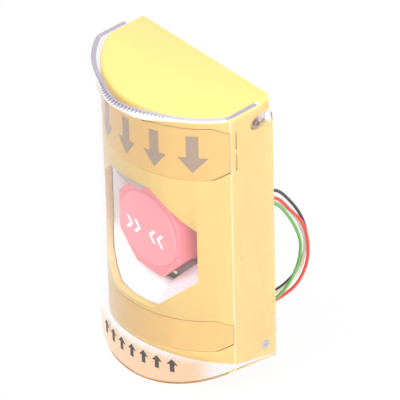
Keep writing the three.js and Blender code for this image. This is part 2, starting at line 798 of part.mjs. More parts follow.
function fixingBlock(side) {
  const x = [side * (blockOuter - fixingBlockWidth), side * blockOuter];
  const depth = [plateThickness, plateThickness + fixingBlockDepth];
  const body = box(x, depth, [fixingHeight - fixingBlockBelow, fixingHeight + fixingBlockAbove]);
  const bore = [x[0] - side * overrun, x[1] + side * overrun];
  return body.subtract(crossBar(fixingForward, fixingHeight, fixingScrewRadius + slideGap, bore));
}

// A fixing screw: a flat head with a socket, sunk in the side wall, and its shank.
function fixingScrew(side) {
  const seat = halfWidth - fixingHeadHeight + slideGap;
  const bar = (radius, inner, outer, steps) =>
    crossBar(fixingForward, fixingHeight, radius, [side * inner, side * outer], steps);
  const head = bar(fixingHeadRadius, seat, halfWidth);
  const shank = bar(fixingScrewRadius, seat - fixingScrewLength, seat + slideGap);
  const socket = bar(fixingSocketRadius, halfWidth - fixingSocketDepth, halfWidth + overrun, socketSides);
  return head.add(shank).subtract(socket);
}

// A hinge pin, with a bore in its outer end for the cover's stud.
function hingePin(side) {
  const range = [side * (blockOuter - hingeBlockWidth), side * (halfWidth - pinSunk)];
  const bore = [side * (coverInnerHalf - studLength - studEndGap), side * (halfWidth + overrun)];
  const pin = crossBar(pinForward, pinHeight, pinRadius, range);
  return pin.subtract(crossBar(pinForward, pinHeight, studRadius + slideGap, bore));
}

// Switch base: a plate with the stem's guide tube
function switchBase() {
  const plate = box(
    [-baseWidth / 2, baseWidth / 2],
    [plateThickness, baseFront],
    [windowCentreHeight - baseHeight / 2, windowCentreHeight + baseHeight / 2],
  );
  const guide = centreBar(guideDiameter / 2, [plateThickness, guideFront], bossSteps);
  const behind = plateThickness - overrun;
  return cut(plate.add(guide), [
    centreBar(stemRadius + slideGap, [behind, guideFront + overrun]),
    centreBar(guideCounterbore / 2, [behind, guideShoulder], bossSteps),
    ...baseScrewHoles([behind, baseFront + overrun]),
  ]);
}

// A screw through the base and the plate, with a cross slot in its head.
function baseScrew(end) {
  const height = windowCentreHeight + (end * baseScrewSpacing) / 2;
  const headFront = baseFront + baseScrewHeadHeight;
  const head = baseScrewBar(end, baseScrewHeadRadius, [baseFront, headFront]);
  const shank = baseScrewBar(end, baseScrewRadius, [0, baseFront + slideGap]);
  const slotDepth = baseScrewHeadHeight / 2;
  const arm = [headFront - slotDepth, headFront + overrun];
  const wide = [-crossSlotWidth / 2, crossSlotWidth / 2];
  const long = [-baseScrewHeadRadius / 2, baseScrewHeadRadius / 2];
  const slot = (x, z) => box(x, arm, [height + z[0], height + z[1]]);
  return cut(head.add(shank), [slot(wide, long), slot(long, wide)]);
}

function contactBlock(side) {
  const x = [side * contactInner, side * (contactInner + contactWidth)];
  const body = box(x, [baseFront, contactFront], [
    windowCentreHeight - contactHeight / 2,
    windowCentreHeight + contactHeight / 2,
  ]);
  const bore = [contactBoreRear, contactFront + overrun];
  return body.subtract(plungerBar(side, plungerRadius + slideGap, bore));
}

const plungerBar = (side, radius, range) =>
  forwardBar(side * contactMiddle, windowCentreHeight, radius, range);

const contactPlunger = (side) => plungerBar(side, plungerRadius, [plungerRear, plungerFront]);

// A contact blade: out from the side of its block, then forward to the board.
function contactBlade(side, offset) {
  const start = contactInner + contactWidth;
  const end = start + bladeReach;
  const height = [
    windowCentreHeight + offset - bladeWidth / 2,
    windowCentreHeight + offset + bladeWidth / 2,
  ];
  const flat = box([side * start, side * end], [bladeRear, bladeRear + bladeThickness], height);
  const upright = box([side * (end - bladeThickness), side * end], [bladeRear, boardRear], height);
  return flat.add(upright);
}

// Lamp board: a frame round the button, on four standoffs
function lampBoard() {
  const shape = polygon([
    [-boardWidth / 2, windowCentreHeight - boardHeight / 2],
    [boardWidth / 2, windowCentreHeight - boardHeight / 2],
    [boardWidth / 2, windowCentreHeight + boardHeight / 2],
    [-boardWidth / 2, windowCentreHeight + boardHeight / 2],
  ]);
  shape.holes.push(polygon(buttonOutline(boardHoleGap)));
  return frontSolid(shape, boardRear, boardFront);
}

function standoff(side, end) {
  const x = side * (boardWidth / 2 - standoffInset);
  const height = windowCentreHeight + end * (boardHeight / 2 - standoffEndInset);
  return forwardBar(x, height, standoffDiameter / 2, [plateThickness, boardRear]);
}

// A lamp midway between the board's opening and its side.
function lamp(side) {
  const middle = (buttonWidth / 2 + boardHoleGap + boardWidth / 2) / 2;
  const range = [side * (middle - lampSize / 2), side * (middle + lampSize / 2)];
  return box(range, [boardFront, boardFront + lampHeight], [
    windowCentreHeight - lampSize / 2,
    windowCentreHeight + lampSize / 2,
  ]);
}

// Terminal block on the board's rear face, with a hole for each lead in its underside
function terminalBlock() {
  const width = 2 * terminalMargin + 3 * terminalPitch;
  const rear = boardRear - terminalDepth;
  const body = box([terminalInner, terminalInner + width], [rear, boardRear], [
    terminalBottom,
    terminalBottom + terminalHeight,
  ]);
  const radius = leadDiameter / 2 + seatGap;
  const holes = [0, 1, 2, 3].map((place) => {
    const geometry = new THREE.CylinderGeometry(radius, radius, terminalHoleDepth + overrun, roundSteps);
    geometry.rotateX(Math.PI / 2);
    const middle = terminalBottom + (terminalHoleDepth - overrun) / 2;
    return solid(geometry.translate(leadX(place), -terminalHoleFront, middle));
  });
  return cut(body, holes);
}

function terminalScrew(place) {
  const seat = boardRear - terminalDepth;
  const height = terminalBottom + terminalHeight - terminalScrewDown;
  return forwardBar(leadX(place), height, terminalScrewRadius, [seat - terminalScrewHeight, seat]);
}

// The bezel's ring of facets, from the flange behind the housing's wall to the window's edge and
// in to the button. A lift moves its front forward.
function bezelRing(lift, thickness) {
  const seat = (x) => arcForward(x, innerRadius - seatGap) + lift;
  const rim = (x) => arcForward(x, bezelRimRadius) + lift;
  const rows = [
    [windowOutline(bezelFlange), seat],
    [windowOutline(0), seat],
    [buttonOutline(bezelButtonGap), rim],
  ].map(([outline, forward]) => subdivided(outline, bezelSteps).map(([x, z]) => [x, forward(x), z]));
  const moveBack = ([x, forward, z]) => [x, forward - lift - thickness, z];
  const rearRows = rows.map((row) => row.map(moveBack)).reverse();
  return ringSolid([...rows, ...rearRows]);
}

// A closed band through loops of points that all have the same number of points.
function ringSolid(loops) {
  const count = loops[0].length;
  const index = [];
  for (let row = 0; row < loops.length; row += 1) {
    const next = (row + 1) % loops.length;
    for (let i = 0; i < count; i += 1) {
      const j = (i + 1) % count;
      index.push(row * count + i, next * count + j, next * count + i);
      index.push(row * count + i, row * count + j, next * count + j);
    }
  }
  return indexedSolid(loops.flat(), index);
}

// White bezel: the ring with four legs that stand on the lamp board, each behind the middle of a
// slanted side of the flange
function windowBezel() {
  const outline = windowOutline(bezelFlange / 2);
  const legs = [1, 3, 5, 7].map((corner) => {
    const [x, z] = outline[corner];
    const [nextX, nextZ] = outline[(corner + 1) % outline.length];
    const middleX = (x + nextX) / 2;
    const legTop = arcForward(middleX, innerRadius) - bezelThickness;
    return forwardBar(middleX, (z + nextZ) / 2, bezelLegRadius, [boardFront, legTop]);
  });
  return join([bezelRing(0, bezelThickness), ...legs]);
}

// The points of a closed outline with each side cut into equal steps.
function subdivided(outline, steps) {
  return outline.flatMap(([x, z], i) => {
    const [nextX, nextZ] = outline[(i + 1) % outline.length];
    const along = (k) => [x + ((nextX - x) * k) / steps, z + ((nextZ - z) * k) / steps];
    return Array.from({ length: steps }, (_, k) => along(k));
  });
}

// Grey bar: it stands in the window's upper left, and both its ends turn back to the bezel
function windowBar() {
  const outer = frontRadius - barBehindFront;
  const left = barInsideCorner - windowTopWidth / 2;
  const right = left + barLength;
  const top = windowTop - barBelowWindow;
  const bottom = top - barHeight;
  const outline = [[left, bottom], [right, bottom], [right, top], [left, top]];
  const strip = curvedPlate(outline, [outer - barThickness, outer], [bottom, top]);
  const turnedEnd = (x, inward) => {
    const front = arcForward(x, outer) - barThickness / 2;
    return box([x, x + inward * barThickness], [boardFront, front], [bottom, top]);
  };
  const staple = join([strip, turnedEnd(left, 1), turnedEnd(right, -1)]);
  return staple.subtract(bezelRing(seatGap, bezelRimRadius));
}

// A lead along its route, and the bare end that carries on from it.
function leadCurve(name, place) {
  return new THREE.CatmullRomCurve3(
    leadRoutes[name].map(([y, z]) => new THREE.Vector3(leadX(place), y, z)),
  );
}

function leadTube(curve) {
  const steps = Math.ceil(curve.getLength() / (leadStepDiameters * leadDiameter));
  return tube(curve, leadDiameter, leadSides, steps);
}

function bareEnd(curve) {
  const direction = curve.getTangent(1);
  const start = curve.getPoint(1).addScaledVector(direction, seatGap);
  const end = start.clone().addScaledVector(direction, leadBareLength);
  return solid(tube(new THREE.LineCurve3(start, end), leadBareDiameter, leadSides, 1));
}

// Assembly
addNode("housing_shell", housingShell(), yellow);
for (const [name, low, height] of labels) {
  addNode(name, labelPlate(low, height), orange);
}
addNode("clear_cover", clearCover(), clear);
addNode("window_bezel", windowBezel(), white);
addNode("window_bar", windowBar(), grey);
addNode("button_block", buttonBlock(), red);
addNode("button_disc", buttonDisc(), brightRed);
addNode("button_stem", buttonStem(), white);
addNode("stem_clip", stemClip(), steel);
addNode("return_spring", returnSpring(), steel);
addNode("switch_base", switchBase(), black);
addNode("back_plate", backPlate(), steel);
addNode("lamp_board", lampBoard(), green);
addNode("terminal_block", terminalBlock(), grey);
const ends = [["lower", -1], ["upper", 1]];
for (const [endName, end] of ends) {
  addNode(`switch_base_screw_${endName}`, baseScrew(end), steel);
}
for (const [name, side] of [["left", -1], ["right", 1]]) {
  addNode(`hinge_pin_${name}`, hingePin(side), brown);
  addNode(`hinge_block_${name}`, hingeBlock(side), grey);
  addNode(`fixing_block_${name}`, fixingBlock(side), grey);
  addNode(`housing_screw_${name}`, fixingScrew(side), steel);
  addNode(`contact_block_${name}`, contactBlock(side), black);
  addNode(`contact_plunger_${name}`, contactPlunger(side), white);
  addNode(`lamp_${name}`, lamp(side), cream);
  for (const [endName, end] of ends) {
    addNode(`contact_blade_${name}_${endName}`, contactBlade(side, (end * bladeSpacing) / 2), brass);
    addNode(`board_standoff_${name}_${endName}`, standoff(side, end), brass);
  }
}
const leads = [["black", black], ["white", cream], ["red", red], ["green", green]];
leads.forEach(([name, material], place) => {
  const curve = leadCurve(name, place);
  addNode(`lead_${name}`, leadTube(curve), material);
  addNode(`lead_end_${name}`, bareEnd(curve), brass);
  addNode(`terminal_screw_${name}`, terminalScrew(place), steel);
});

export default part;
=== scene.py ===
import math

import bmesh
import bpy
from mathutils import Matrix, Vector


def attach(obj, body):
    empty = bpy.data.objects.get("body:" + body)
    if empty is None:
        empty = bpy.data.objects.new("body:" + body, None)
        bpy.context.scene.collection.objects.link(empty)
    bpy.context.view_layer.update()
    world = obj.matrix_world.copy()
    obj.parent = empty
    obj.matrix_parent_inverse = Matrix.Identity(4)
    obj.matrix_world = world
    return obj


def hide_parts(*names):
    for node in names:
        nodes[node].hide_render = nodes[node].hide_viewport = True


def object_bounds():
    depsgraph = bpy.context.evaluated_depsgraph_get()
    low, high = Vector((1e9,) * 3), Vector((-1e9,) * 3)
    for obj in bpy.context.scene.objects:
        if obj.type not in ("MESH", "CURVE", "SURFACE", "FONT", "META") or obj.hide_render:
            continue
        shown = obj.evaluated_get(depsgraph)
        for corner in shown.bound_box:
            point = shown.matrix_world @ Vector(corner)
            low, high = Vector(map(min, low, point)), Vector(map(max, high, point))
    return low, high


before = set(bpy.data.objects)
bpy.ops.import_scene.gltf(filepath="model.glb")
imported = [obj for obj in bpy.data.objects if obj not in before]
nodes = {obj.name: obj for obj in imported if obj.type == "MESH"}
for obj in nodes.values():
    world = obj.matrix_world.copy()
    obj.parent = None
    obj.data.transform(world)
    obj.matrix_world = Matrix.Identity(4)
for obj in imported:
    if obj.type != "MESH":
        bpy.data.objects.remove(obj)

cad_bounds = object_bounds()
MM = 0.001

# Sizes that the part's source also has, in millimetres
FRONT_RADIUS = 40.51
FRONT_CENTRE = -0.71
COVER_RADIUS = 43.91
DISC_FRONT = 31.4

# Camera: the photograph's own view, from the right and above
IMAGE_SIZE = 400
FOCAL_PIXELS = 6000
SENSOR = 36
AZIMUTH = 0.8542473
ELEVATION = 0.6402250
ROLL = -0.0253923
DISTANCE = 2311.07
TARGET = Vector((-0.0502, -4.5016, -5.184))


def make_camera():
    ca, sa = math.cos(AZIMUTH), math.sin(AZIMUTH)
    ce, se = math.cos(ELEVATION), math.sin(ELEVATION)
    right = Vector((ca, sa, 0))
    forward = Vector((-sa * ce, ca * ce, -se))
    up = Vector((-sa * se, ca * se, ce))
    turned_right = right * math.cos(ROLL) + up * math.sin(ROLL)
    turned_up = up * math.cos(ROLL) - right * math.sin(ROLL)
    place = (TARGET - forward * DISTANCE) * MM
    data = bpy.data.cameras.new("camera")
    data.sensor_width = SENSOR
    data.lens = FOCAL_PIXELS / IMAGE_SIZE * SENSOR
    data.clip_start = 0.1
    data.clip_end = 50
    camera = bpy.data.objects.new("camera", data)
    columns = (turned_right, turned_up, -forward)
    camera.matrix_world = Matrix.Translation(place) @ Matrix(columns).transposed().to_4x4()
    bpy.context.scene.collection.objects.link(camera)
    bpy.context.scene.camera = camera


make_camera()


# Materials
def linear(code):
    """An sRGB colour given as 0xRRGGBB, in linear light."""
    channels = [(code >> shift & 255) / 255 for shift in (16, 8, 0)]
    return tuple(c / 12.92 if c <= 0.04045 else ((c + 0.055) / 1.055) ** 2.4 for c in channels) + (1,)


class Nodes:
    """A short way to add shader nodes and join them."""

    def __init__(self, name):
        self.material = bpy.data.materials.new(name)
        self.material.use_nodes = True
        self.tree = self.material.node_tree
        self.tree.nodes.clear()
        self.output = self.add("ShaderNodeOutputMaterial")

    def add(self, kind, **settings):
        node = self.tree.nodes.new(kind)
        for key, value in settings.items():
            setattr(node, key, value)
        return node

    def join(self, source, target):
        self.tree.links.new(source, target)

    def noise(self, scale, detail=2.0, stretch=None):
        coordinates = self.place()
        if stretch:
            mapping = self.add("ShaderNodeMapping")
            mapping.inputs["Scale"].default_value = stretch
            self.join(coordinates, mapping.inputs["Vector"])
            coordinates = mapping.outputs["Vector"]
        texture = self.add("ShaderNodeTexNoise")
        texture.inputs["Scale"].default_value = scale
        texture.inputs["Detail"].default_value = detail
        self.join(coordinates, texture.inputs["Vector"])
        return texture.outputs["Fac"]

    def span(self, value, low, high):
        """Maps noise, which mostly lies from 0.3 to 0.7, to low..high."""
        node = self.add("ShaderNodeMapRange")
        node.inputs["From Min"].default_value = 0.3
        node.inputs["From Max"].default_value = 0.7
        node.inputs["To Min"].default_value = low
        node.inputs["To Max"].default_value = high
        self.join(value, node.inputs["Value"])
        return node.outputs["Result"]

    def rise(self, value, start, end):
        """A smooth step from zero at the start to one at the end."""
        node = self.add("ShaderNodeMapRange", interpolation_type="SMOOTHSTEP")
        node.inputs["From Min"].default_value = start
        node.inputs["From Max"].default_value = end
        self.join(value, node.inputs["Value"])
        return node.outputs["Result"]

    def math(self, operation, *sources):
        node = self.add("ShaderNodeMath", operation=operation)
        for source, target in zip(sources, node.inputs):
            self.join(source, target)
        return node.outputs[0]

    def part(self, vector, axis):
        """The X, Y or Z of a vector."""
        node = self.add("ShaderNodeSeparateXYZ")
        self.join(vector, node.inputs["Vector"])
        return node.outputs[axis]

    def place(self):
        return self.add("ShaderNodeTexCoord").outputs["Object"]

    def mix(self, factor, first, second):
        """Mixes two colours, each a value or a socket."""
        node = self.add("ShaderNodeMix", data_type="RGBA")
        self.join(factor, node.inputs["Factor"])
        for key, colour in (("A", first), ("B", second)):
            if isinstance(colour, tuple):
                node.inputs[key].default_value = colour
            else:
                self.join(colour, node.inputs[key])
        return node.outputs["Result"]

    def blend(self, share, first, second):
        node = self.add("ShaderNodeMixShader")
        self.join(share, node.inputs["Fac"])
        self.join(first, node.inputs[1])
        self.join(second, node.inputs[2])
        return node.outputs["Shader"]

    def bump(self, height, strength, distance):
        node = self.add("ShaderNodeBump")
        node.inputs["Strength"].default_value = strength
        node.inputs["Distance"].default_value = distance
        self.join(height, node.inputs["Height"])
        return node.outputs["Normal"]

    def principled(self, **values):
        node = self.add("ShaderNodeBsdfPrincipled")
        for key, value in values.items():
            node.inputs[key.replace("_", " ")].default_value = value
        return node


def darker(colour, share):
    return tuple(c * share for c in colour[:3]) + (1,)


# Sizes of the surface detail, as noise scales in waves per metre
TONE_WAVES, GLOSS_WAVES, GRAIN_WAVES = 60, 240, 1500
METAL_TONE_WAVES, METAL_GLOSS_WAVES, METAL_LINE_WAVES = 90, 300, 700
CLEAR_TONE_WAVES, SCUFF_WAVES = 45, 500
DRAWN_STRETCH = (1, 1, 40)
# Depths of the relief, in metres, and how far the roughness swings about its middle
GRAIN_DEPTH, METAL_LINE_DEPTH, TRACK_DEPTH = 0.0001, 0.00005, 0.00005
GLOSS_SWING, METAL_GLOSS_FALL, METAL_GLOSS_RISE = 0.06, 0.1, 0.12
# Where the paler colour painted as light starts and ends: by the normal's Z, and by height in
# millimetres
PAINTED_LIGHT_FACING = (0.4, 0.95)
PAINTED_LIGHT_HEIGHTS = (57, 60.5)


def plastic(name, code, roughness=0.35, shift=0.94, relief=0.08, painted_light_colour=None):
    """Moulded plastic: slow changes of tone, a fine grain and uneven gloss.

    The paler colour, if there is one, is painted light: it shows at the top and where the plastic
    faces the sky.
    """
    n = Nodes(name)
    shader = n.principled()
    tone = n.span(n.noise(TONE_WAVES), 0, 1)
    colour = n.mix(tone, linear(code), darker(linear(code), shift))
    # Painted light: faces that look up, and the band just below the top, take a paler colour as if
    # lit more
    if painted_light_colour:
        normal = n.add("ShaderNodeNewGeometry").outputs["Normal"]
        upward = n.rise(n.part(normal, "Z"), *PAINTED_LIGHT_FACING)
        high = n.rise(n.part(n.place(), "Z"), *(height * MM for height in PAINTED_LIGHT_HEIGHTS))
        colour = n.mix(n.math("MAXIMUM", upward, high), colour, linear(painted_light_colour))
    n.join(colour, shader.inputs["Base Color"])
    low, high = roughness - GLOSS_SWING, roughness + GLOSS_SWING
    gloss = n.span(n.noise(GLOSS_WAVES, 4), low, high)
    n.join(gloss, shader.inputs["Roughness"])
    n.join(n.bump(n.noise(GRAIN_WAVES, 3), relief, GRAIN_DEPTH), shader.inputs["Normal"])
    n.join(shader.outputs["BSDF"], n.output.inputs["Surface"])
    return n.material


def metal(name, code, roughness=0.3):
    """Rolled or plated metal with fine drawn lines and dull patches."""
    n = Nodes(name)
    shader = n.principled(Metallic=1.0)
    tone = n.span(n.noise(METAL_TONE_WAVES, 3), 0, 1)
    n.join(n.mix(tone, linear(code), darker(linear(code), 0.85)), shader.inputs["Base Color"])
    low, high = roughness - METAL_GLOSS_FALL, roughness + METAL_GLOSS_RISE
    gloss = n.span(n.noise(METAL_GLOSS_WAVES, 4, DRAWN_STRETCH), low, high)
    n.join(gloss, shader.inputs["Roughness"])
    lines = n.noise(METAL_LINE_WAVES, 2, DRAWN_STRETCH)
    n.join(n.bump(lines, 0.06, METAL_LINE_DEPTH), shader.inputs["Normal"])
    n.join(shader.outputs["BSDF"], n.output.inputs["Surface"])
    return n.material


# Clear cover's look: where the housing's warm colour, seen through the lower lip, is painted on the
# lip, by height and by distance from the middle, in millimetres
LIP_SHOW_THROUGH_HEIGHTS = (-50, -56)
LIP_SHOW_THROUGH_SIDES = (34, 26)
# Colours painted on the cover's edges: the rim's cool colour, painted shade in the grooves and a
# white painted highlight
EDGE_TINT_SHADE_AND_HIGHLIGHT = {"rim": 0xA79BB1, "groove": 0x7C7086, "sheen": 0xFFFFFF}
CLEAR_SHADOW = (0.93, 0.93, 0.95, 1)
DEEP_BOUNCES = 2.5


def lip_show_through_share(n):
    """One on the lower lip, where the warm colour of the housing seen through it is painted on, zero
    above it and towards the sides.
    """
    down = n.rise(n.part(n.place(), "Z"), *(height * MM for height in LIP_SHOW_THROUGH_HEIGHTS))
    across = n.math("ABSOLUTE", n.part(n.place(), "X"))
    inward = n.rise(across, *(distance * MM for distance in LIP_SHOW_THROUGH_SIDES))
    return n.math("MULTIPLY", down, inward)


def clear_plastic(name, code, show_through_code):
    """Clear polished plastic: faint scuffs, a painted warm lip, a cool top rim, grooves painted
    darker as shade and painted highlights on the edges.

    The mesh holds the share of each of these edge looks at its points. A ray that has been
    reflected many times inside the plastic ends in a white glow.
    """
    n = Nodes(name)
    shader = n.principled(Transmission_Weight=1.0, IOR=1.49)
    tone = n.span(n.noise(CLEAR_TONE_WAVES), 0, 1)
    clear = n.mix(tone, linear(code), darker(linear(code), 0.985))
    # Painted see-through colour: the lip takes the housing's warm colour, which shows through it
    n.join(n.mix(lip_show_through_share(n), clear, linear(show_through_code)), shader.inputs["Base Color"])
    n.join(n.span(n.noise(SCUFF_WAVES, 4), 0.0, 0.03), shader.inputs["Roughness"])
    path = n.add("ShaderNodeLightPath")
    deep = n.add("ShaderNodeMath", operation="GREATER_THAN")
    deep.inputs[1].default_value = DEEP_BOUNCES
    n.join(path.outputs["Glossy Depth"], deep.inputs[0])
    glow = n.add("ShaderNodeEmission")
    glow.inputs["Color"].default_value = (1, 1, 1, 1)
    surface = n.blend(deep.outputs[0], shader.outputs["BSDF"], glow.outputs["Emission"])
    # Painted shade in the grooves and painted highlights, laid over the plastic by the shares the
    # mesh holds
    for attribute, colour in EDGE_TINT_SHADE_AND_HIGHLIGHT.items():
        painted = n.add("ShaderNodeAttribute", attribute_name=attribute)
        edge_paint = n.principled(Base_Color=linear(colour), Roughness=0.3)
        surface = n.blend(painted.outputs["Fac"], surface, edge_paint.outputs["BSDF"])
    through = n.add("ShaderNodeBsdfTransparent")
    through.inputs["Color"].default_value = CLEAR_SHADOW
    surface = n.blend(path.outputs["Is Shadow Ray"], surface, through.outputs["BSDF"])
    n.join(surface, n.output.inputs["Surface"])
    return n.material


# Circuit board's look
BOARD_COLOURS = {"Color1": 0x9A8088, "Color2": 0x927880, "Mortar": 0xA68C92}
# A faint glow painted on the board, which lightens the shade under the button
BOARD_PAINTED_GLOW = dict(Emission_Color=linear(0xC0A4B0), Emission_Strength=0.3)
TRACK_SCALE, TRACK_WIDTH = 260, 0.05


def circuit_board(name):
    """Grey solder mask with a faint net of copper tracks and a faint painted glow that lightens the
    shade inside the housing.
    """
    n = Nodes(name)
    shader = n.principled(Roughness=0.35, **BOARD_PAINTED_GLOW)
    tracks = n.add("ShaderNodeTexBrick")
    tracks.inputs["Scale"].default_value = TRACK_SCALE
    tracks.inputs["Mortar Size"].default_value = TRACK_WIDTH
    for key, code in BOARD_COLOURS.items():
        tracks.inputs[key].default_value = linear(code)
    mapping = n.add("ShaderNodeMapping")
    mapping.inputs["Rotation"].default_value = (math.pi / 2, 0, 0)
    n.join(n.place(), mapping.inputs["Vector"])
    n.join(mapping.outputs["Vector"], tracks.inputs["Vector"])
    n.join(tracks.outputs["Color"], shader.inputs["Base Color"])
    n.join(n.bump(tracks.outputs["Fac"], 0.2, TRACK_DEPTH), shader.inputs["Normal"])
    n.join(shader.outputs["BSDF"], n.output.inputs["Surface"])
    return n.material


PLASTICS = {
    # The housing's paler colour is painted light on its top and upward faces
    "yellow_housing": dict(code=0xDDBC6D, roughness=0.38, shift=0.98, painted_light_colour=0xF8DF84),
    "orange_plate": dict(code=0xDDB366, roughness=0.42, shift=0.98),
    "white_plastic": dict(code=0xF8FCFC, roughness=0.35, shift=0.98),
    "grey_plastic": dict(code=0xB4AEAC, roughness=0.5),
    "red_block": dict(code=0xF48E94, roughness=0.4, shift=0.97),
    "red_disc": dict(code=0xF99DA2, roughness=0.45, shift=0.99, relief=0.03),
    "brown_plastic": dict(code=0xB08A7C, roughness=0.45),
    "black_plastic": dict(code=0x74686E, roughness=0.5, shift=0.9),
    "lamp_cream": dict(code=0xF2EED4, roughness=0.25),
    "insulation_black": dict(code=0x4A4848, roughness=0.3, shift=0.9),
    "insulation_white": dict(code=0xE0DCC8, roughness=0.3),
    "insulation_red": dict(code=0xE8483E, roughness=0.3),
    "insulation_green": dict(code=0x6CAB58, roughness=0.3),
}
METALS = {
    "steel": dict(code=0xDEE0E4, roughness=0.32),
    "brass": dict(code=0xD3B56E),
    "tinned_copper": dict(code=0xD9D3C6),
}
MATERIALS = {
    # The second colour is the housing's warm colour, painted on the lower lip as seen through it
    "clear_cover": clear_plastic("clear_cover", 0xFEFDFF, 0xFED9B4),
    "board_grey": circuit_board("board_grey"),
    **{name: plastic(name, **look) for name, look in PLASTICS.items()},
    **{name: metal(name, **look) for name, look in METALS.items()},
}
DARK_MARK = plastic("mark_grey", 0xA08A74, 0.5, 0.95)
BLACK_MARK = plastic("mark_black", 0x4A4444, 0.5, 0.95)
WHITE_MARK = plastic("mark_white", 0xFFFBFC, 0.4, 0.99)


# Cords
LEADS = {
    "black": [
        (-9, 10.3), (-9, 5.6), (-6.4, 2.6), (0, 1.6), (8, 1.9), (16.9, -0.8), (24.3, -9.7),
        (29.9, -19.8), (32.4, -29), (31.6, -37.5), (27.4, -44.8), (20.6, -48.2), (13.4, -48.6),
        (5.5, -47.8), (-0.6, -46), (-5, -43.2),
    ],
    "white": [
        (-9, 10.3), (-9, 5.2), (-6, 1.4), (0.4, 0.2), (7.4, -0.2), (14.6, -4), (22.1, -12.1),
        (27.4, -22), (29.7, -32.1), (26.9, -42.3), (19.9, -46.9), (13.4, -47.6), (5.4, -46.8),
        (-0.4, -45), (-4.6, -42),
    ],
    "red": [
        (-9, 10.3), (-9, 5.6), (-6.2, 2.2), (0, 1.4), (6, 1.6), (12.6, 0.2), (20, -9.1),
        (26.7, -19.6), (29.2, -31.1), (28, -40.2), (23.1, -46.6), (15.7, -48.6), (8, -48.4),
        (1, -46.8), (-4, -44),
    ],
    "green": [
        (-9, 10.3), (-9, 5.4), (-6.4, 2.2), (-1, 1.4), (4.6, 1.8), (10.5, -0.4), (17.9, -10.9),
        (22.5, -22), (23.2, -28), (21.3, -35.9), (15.8, -42.8), (9.6, -45.6), (3.6, -45.4),
        (-1.6, -43.6), (-5.4, -40.4),
    ],
}
LEAD_X = {"black": 19.8, "white": 22.1, "red": 24.4, "green": 26.7}
LEAD_DIAMETER = 1.3
BARE_LENGTH = 5
BARE_DIAMETER = 0.7
BARE_GAP = 0.3
STRANDS = 7
STRAND_DIAMETER = BARE_DIAMETER / 3
STRAND_STEPS, STRAND_TURNS = 16, 0.75
ROUTE_STEPS = 6
LEAD_ROUNDING, STRAND_ROUNDING = 6, 2


def spline_point(points, span, share):
    """A point on the centripetal Catmull-Rom curve through the points."""
    first = points[span - 1] if span else points[0] * 2 - points[1]
    last = points[span + 2] if span + 2 < len(points) else points[-1] * 2 - points[-2]
    p = [first, points[span], points[span + 1], last]
    d = [math.sqrt((b - a).length) for a, b in zip(p, p[1:])]
    start = (p[1] - p[0]) / d[0] - (p[2] - p[0]) / (d[0] + d[1]) + (p[2] - p[1]) / d[1]
    end = (p[2] - p[1]) / d[1] - (p[3] - p[1]) / (d[1] + d[2]) + (p[3] - p[2]) / d[2]
    start, end = start * d[1], end * d[1]
    s = share
    return (
        p[1] * (2 * s**3 - 3 * s**2 + 1)
        + p[2] * (3 * s**2 - 2 * s**3)
        + start * (s**3 - 2 * s**2 + s)
        + end * (s**3 - s**2)
    )


def lead_line(colour):
    points = [Vector((LEAD_X[colour], y, z)) for y, z in LEADS[colour]]
    line = [
        spline_point(points, span, step / ROUTE_STEPS)
        for span in range(len(points) - 1)
        for step in range(ROUTE_STEPS)
    ]
    return [p * MM for p in line + [points[-1]]]


def tube_curve(name, lines, diameter, material, rounding):
    """Round tubes along lines of points, as one curve object."""
    data = bpy.data.curves.new(name, "CURVE")
    data.dimensions = "3D"
    data.bevel_depth = diameter / 2 * MM
    data.bevel_resolution = rounding
    data.use_fill_caps = True
    for line in lines:
        spline = data.splines.new("POLY")
        spline.points.add(len(line) - 1)
        for point, place in zip(spline.points, line):
            point.co = (*place, 1)
    data.materials.append(material)
    piece = bpy.data.objects.new(name, data)
    bpy.context.scene.collection.objects.link(piece)
    return piece


def strands(start, direction):
    """The lines of a twisted bundle of bare strands."""
    across = Vector((1, 0, 0))
    up = direction.cross(across).normalized()
    ring = (BARE_DIAMETER - STRAND_DIAMETER) / 2 * MM
    lines = [[start, start + direction * BARE_LENGTH * MM]]
    for k in range(STRANDS - 1):
        line = []
        for step in range(STRAND_STEPS + 1):
            share = step / STRAND_STEPS
            angle = 2 * math.pi * (k / (STRANDS - 1) + share * STRAND_TURNS)
            offset = (across * math.cos(angle) + up * math.sin(angle)) * ring
            line.append(start + direction * BARE_LENGTH * MM * share + offset)
        lines.append(line)
    return lines


for colour in LEADS:
    line = lead_line(colour)
    insulation = f"insulation_{colour}"
    lead = tube_curve(f"wire_{colour}", [line], LEAD_DIAMETER, MATERIALS[insulation], LEAD_ROUNDING)
    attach(lead, "housing")
    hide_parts(f"lead_{colour}")
    direction = (line[-1] - line[-2]).normalized()
    bare = tube_curve(
        f"wire_strands_{colour}",
        strands(line[-1] + direction * BARE_GAP * MM, direction),
        STRAND_DIAMETER,
        MATERIALS["tinned_copper"],
        STRAND_ROUNDING,
    )
    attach(bare, "housing")
    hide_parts(f"lead_end_{colour}")
    tuple(line[0])


# Dressed CAD nodes: angles in degrees, sizes in millimetres
SMOOTH_ANGLE, FLAT_ANGLE, BEVEL_ANGLE = 24, 0.4, 32
BEVELS = {"housing_shell": 0.2, "window_bezel": 0.15, "button_block": 0.15}
BEVEL_SEGMENTS = 2
WELD_REACH = 0.002


